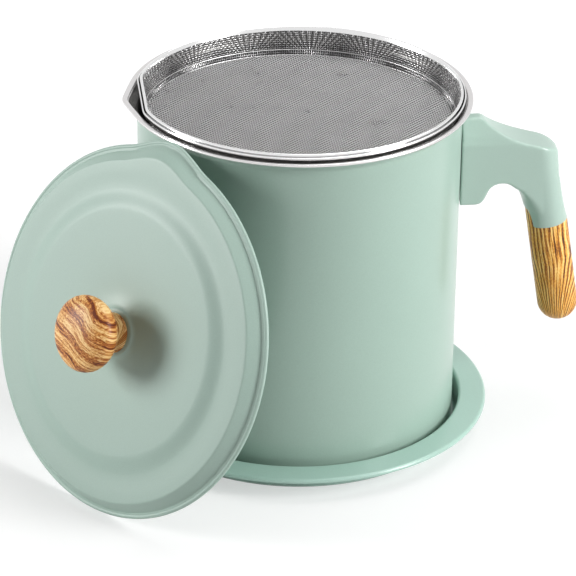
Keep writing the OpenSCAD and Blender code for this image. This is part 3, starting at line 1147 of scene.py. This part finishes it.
    def _woven(
        self, name: str, tree: bpy.types.NodeTree, lay: Lay, paint: Paint, rise: float = 0.0
    ) -> Piece:
        """One set of wires as a plain mesh, already dressed.

        Args:
            name: the piece's name.
            tree: the cloth's tree.
            lay: which set of wires.
            paint: the wires' material.
            rise: how far the cloth climbs from the pan's floor.

        Returns:
            The piece.
        """
        piece = added(name, bpy.data.meshes.new(name))
        weave = piece.modifiers.new("weave", "NODES")
        weave.node_group = tree
        values = {
            "Pitch": self.pitch * MM,
            "Wire": self.wire * MM,
            "Radius": self.floor_radius * MM,
            "Flat": (self.flat - self.ring_out + self.floor_radius) * MM,
            "Height": self.floor * MM,
            "Rise": rise * MM,
            "Lay": float(lay.value),
            "Finish": paint,
        }
        for item in tree.interface.items_tree:
            if item.in_out == "INPUT":
                weave[item.identifier] = values[item.name]
        settle(piece)
        shade_smooth(piece.data)
        return piece

    def build(self, shop: Workshop) -> None:
        """Makes the strainer's pieces and hands them over."""
        ring = self._ring()
        shop.deliver(ring, Body.STRAINER, Slot.POLISHED, "strainer_ring", self.ring_finish)
        rise = self.ring_top - self.hidden - self.floor
        floor_tree, wall_tree = self._floor_tree(), self._wall_tree(rise)
        # the drawn wires keep the lighter copy, the cross wires the painted-shade copy
        laid = {Lay.WARP: shop.paint(self.wire_finish), Lay.WEFT: shop.paint(self.shaded_wire_finish)}
        # the wall's wires take painted highlight fans in their colour
        drawn = shop.paint(DrawnWall("drawn_wall_painted_fans", self.floor * MM, rise * MM))
        for lay in Lay:
            word = lay.name.lower()
            for piece in (
                self._woven(f"pan_floor_{word}", floor_tree, lay, laid[lay]),
                self._woven(f"pan_wall_{word}", wall_tree, lay, drawn, rise),
            ):
                shop.deliver(piece, Body.STRAINER, Slot.CLOTH, "strainer_mesh")
        for name, out, up, thickness in (
            ("pan_fold_low", 0.0, 0.0, 0.26),
            ("pan_fold_high", 0.9, self.chamfer, 0.2),
        ):
            loop = arc((self.floor_radius + out, self.floor + up), thickness, 0, 330, 11)
            fold = self._turned(name, loop, SIDES)
            shop.deliver(fold, Body.STRAINER, Slot.CLOTH, "strainer_mesh", self.wire_finish)


# ---- the lid


@dataclass
class Lid:
    """Pressed lid with a rolled edge, a raised plateau, a tab and a turned knob."""

    roll: float = 0.95
    roll_centre: float = 72.05
    thickness: float = 0.7
    ring_height: float = 6.5
    plateau: float = 8.3
    step: Point = (47.8, 56.4)
    boss: float = 10.0
    boss_radius: float = 8.6
    tab_reach: float = 4.1
    tab_from: Point = (58.0, 71.0)
    knob_radius: float = 15.0
    knob_height: float = 21.6
    knob_sides: int = 128
    lean: float = 17.8
    azimuth: float = -141.2
    out: float = 92.9
    across: float = 1.1
    enamel: Enamel = Enamel("mint_lid", srgb(158, 181, 170), 0.5, coat=0.15, coat_roughness=0.3)

    def pose(self) -> Matrix:
        """Stands the lid up from its own axes to where it leans."""
        lean, azimuth = math.radians(self.lean), math.radians(self.azimuth)
        stand = self.roll_centre * math.cos(lean) + self.roll * (1 - math.sin(lean))
        swing = Matrix.Rotation(azimuth, 4, "Z")
        centre = swing @ Vector((self.out, self.across, stand))
        return Matrix.Translation(centre * MM) @ swing @ Matrix.Rotation(math.pi / 2 - lean, 4, "Y")

    def _middle(self) -> list[Point]:
        """The middle of the sheet, from the axis to the foot of the skirt."""
        ring, (inside, outside) = self.ring_height, self.step
        slope = [
            (inside + (outside - inside) * t, self.plateau + (ring - self.plateau) * eased(t))
            for t in (i / 14 for i in range(15))
        ]
        face = [
            (0.0, self.boss),
            (self.boss_radius, self.boss),
            *arc((self.boss_radius, self.boss - 1.6), 1.6, 80, 35, 5),
            (11.6, self.boss - 1.05),
            (13.4, self.boss - 1.36),
            (16.0, self.plateau + 0.16),
            (30.0, self.plateau + 0.1),
            (40.0, self.plateau + 0.03),
            *slope,
            (58.6, ring - 0.1),
            (61.4, ring + 0.05),
            *arc((self.roll_centre - 5.75, ring - 1.2), 1.2, 90, 38, 8),
            (self.roll_centre - 1.5, self.roll + 0.95),
            (self.roll_centre - 1.35, self.roll + 0.1),
        ]
        return beside(dense(face, 3.0), -self.thickness / 2)

    def _shell(self, pose: Matrix) -> Piece:
        """The pressed sheet with its rolled edge."""
        outer, inner = skins(self._middle(), self.thickness)
        outline = [p for p in outer if p[1] > self.roll * 1.85]
        outline += arc((self.roll_centre, self.roll), self.roll, 126, -150, 20)
        outline += [p for p in inner[::-1] if p[1] > self.roll]
        section = [Turn(r, z, eased(reached(r, *self.tab_from))) for r, z in outline]
        return turned("lid_sheet", section, Tab(self.tab_reach), FINE_SIDES, pose=pose)

    def _knob(self, pose: Matrix) -> Piece:
        """The turned knob, in its own smooth profile."""
        wide, top = self.knob_radius, self.knob_height
        neck, waist = (7.9, 0.3), (8.6, 6.4)
        profile = (
            [(0.0, 0.0), (7.6, 0.0)]
            + bezier((neck, (7.1, 2.4), (6.9, 4.6), waist))
            + bezier((waist, (11.6, 9.4), (wide, 11.4), (wide, 15.4)))[1:]
            + bezier(((wide, 15.4), (wide, 19.6), (9.0, top), (0.0, top)))[1:]
        )
        section = [Turn(r, z + self.boss) for r, z in profile]
        return turned("knob", section, sides=self.knob_sides, pose=pose)

    def build(self, shop: Workshop) -> None:
        """Makes the lid's pieces and dresses its fasteners."""
        pose = self.pose()
        shop.deliver(self._shell(pose), Body.LID, Slot.ENAMEL, "lid_shell", self.enamel)
        wood = WoodGrain(
            "wood_knob",
            tuple(pose.translation),
            tuple(pose.to_euler()),
            Grain.SLANTED,
            pitch=7.7 * MM,
            offset=0.55,
            fine=1.0 * MM,
            sway=0.8 * MM,
            band=0.56,
            speck=1.6,
            dark=srgb(96, 38, 10),
            middle=srgb(170, 94, 36),
            light=srgb(216, 156, 84),
            pale=srgb(246, 208, 146),
        )
        shop.deliver(self._knob(pose), Body.LID, Slot.WOOD, "lid_knob", wood)
        shop.plate("knob_insert", "knob_screw", "knob_washer")


# ---- the studio


@dataclass(frozen=True)
class Softbox:
    """One soft lamp."""

    name: str
    place: Place
    aim: Place
    size: Point
    watts: float

    def hang(self) -> None:
        """Adds the lamp."""
        data = bpy.data.lights.new(self.name, "AREA")
        data.shape = "RECTANGLE"
        data.size, data.size_y = self.size
        data.energy = self.watts
        lamp = added(self.name, data)
        lamp.location = self.place
        toward = Vector(self.aim) - Vector(self.place)
        lamp.rotation_mode = "QUATERNION"
        lamp.rotation_quaternion = toward.to_track_quat("-Z", "Y")


@dataclass
class Studio:
    """A white floor, soft lamps, and the camera of the reference view."""

    camera_place: Place = (-0.14485, -1.22736, 0.67523)
    forward: Place = (0.1021, 0.88812, -0.44812)
    upward: Place = (0.0375, 0.44672, 0.89389)
    sensor: float = 36.0
    lens: float = 211.1
    clip: Point = (0.05, 20.0)
    world_level: float = 0.03
    white: Colour = (1.0, 1.0, 1.0, 1.0)
    floor_half: float = 4.0
    floor_colour: float = 0.76
    floor_glow: float = 0.3
    glow_strength: float = 1.7
    glow_near: float = 0.18
    glow_far: float = 0.6
    far_glow: float = 0.62
    lamps: tuple[Softbox, ...] = (
        Softbox("left", (-1.37, 0.03, 0.48), (0.0, 0.0, 0.08), (0.5, 0.6), 16.0),
        Softbox("right", (1.2, -0.75, 0.7), (0.0, 0.0, 0.08), (0.5, 0.9), 24.5),
        Softbox("top", (0.5, 0.2, 1.3), (0.0, 0.0, 0.1), (1.0, 1.0), 9.0),
    )

    def _camera(self) -> None:
        """The camera, where the reference view was taken."""
        data = bpy.data.cameras.new("view")
        data.sensor_width, data.lens = self.sensor, self.lens
        data.clip_start, data.clip_end = self.clip
        ahead = Vector(self.forward).normalized()
        right = ahead.cross(Vector(self.upward)).normalized()
        turn = Matrix((right, right.cross(ahead), -ahead)).transposed().to_4x4()
        camera = added("view", data)
        camera.matrix_world = Matrix.Translation(self.camera_place) @ turn
        bpy.context.scene.camera = camera

    def _floor(self) -> None:
        """The pale floor, lifted to white for the camera but keeping the shadow."""
        mesh = bmesh.new()
        bmesh.ops.create_grid(mesh, x_segments=1, y_segments=1, size=self.floor_half)
        floor = finished("studio_floor", mesh)
        made = bpy.data.materials.new("studio_floor")
        bench = Bench.cleared(made)
        matt = bench.node("ShaderNodeBsdfDiffuse", {"Color": (*[self.floor_colour] * 3, 1.0)})
        shine = {"Color": self.white, "Strength": self.glow_strength}
        glow = bench.node("ShaderNodeEmission", shine)
        x, y, _ = bench.axes(bench.place())
        away = (from_axis(x, y) - self.glow_near) / (self.glow_far - self.glow_near)
        share = away.clamp() * (self.far_glow - self.floor_glow) + self.floor_glow
        inputs = {0: bench.seen() * share, 1: matt.outputs[0], 2: glow.outputs[0]}
        mix = bench.node("ShaderNodeMixShader", inputs)
        bench.node("ShaderNodeOutputMaterial", {"Surface": mix.outputs[0]})
        floor.data.materials.append(made)

    def _world(self) -> None:
        """Faint even light from all round, white where a ray looks straight at it."""
        world = bpy.data.worlds.new("studio")
        bpy.context.scene.world = world
        bench = Bench.cleared(world)
        level = bench.seen() * (1.0 - self.world_level) + self.world_level
        sky = bench.node("ShaderNodeBackground", {"Color": self.white, "Strength": level})
        bench.node("ShaderNodeOutputWorld", {"Surface": sky.outputs[0]})

    def build(self) -> None:
        """Sets the camera, floor, world and lamps."""
        self._camera()
        self._floor()
        self._world()
        for lamp in self.lamps:
            lamp.hang()
        bpy.context.scene.view_settings.view_transform = "Standard"


def main() -> None:
    """Builds the container, sub-assembly by sub-assembly, and then the studio."""
    logging.basicConfig(level=logging.INFO, format="%(name)s: %(message)s")
    shop = Workshop()
    for assembly in (DripTray(), Pot(), Handle(), Strainer(), Lid()):
        assembly.build(shop)
    Studio().build()
    log.info("%d triangles built", shop.triangles)


if __name__ == "__main__":
    main()
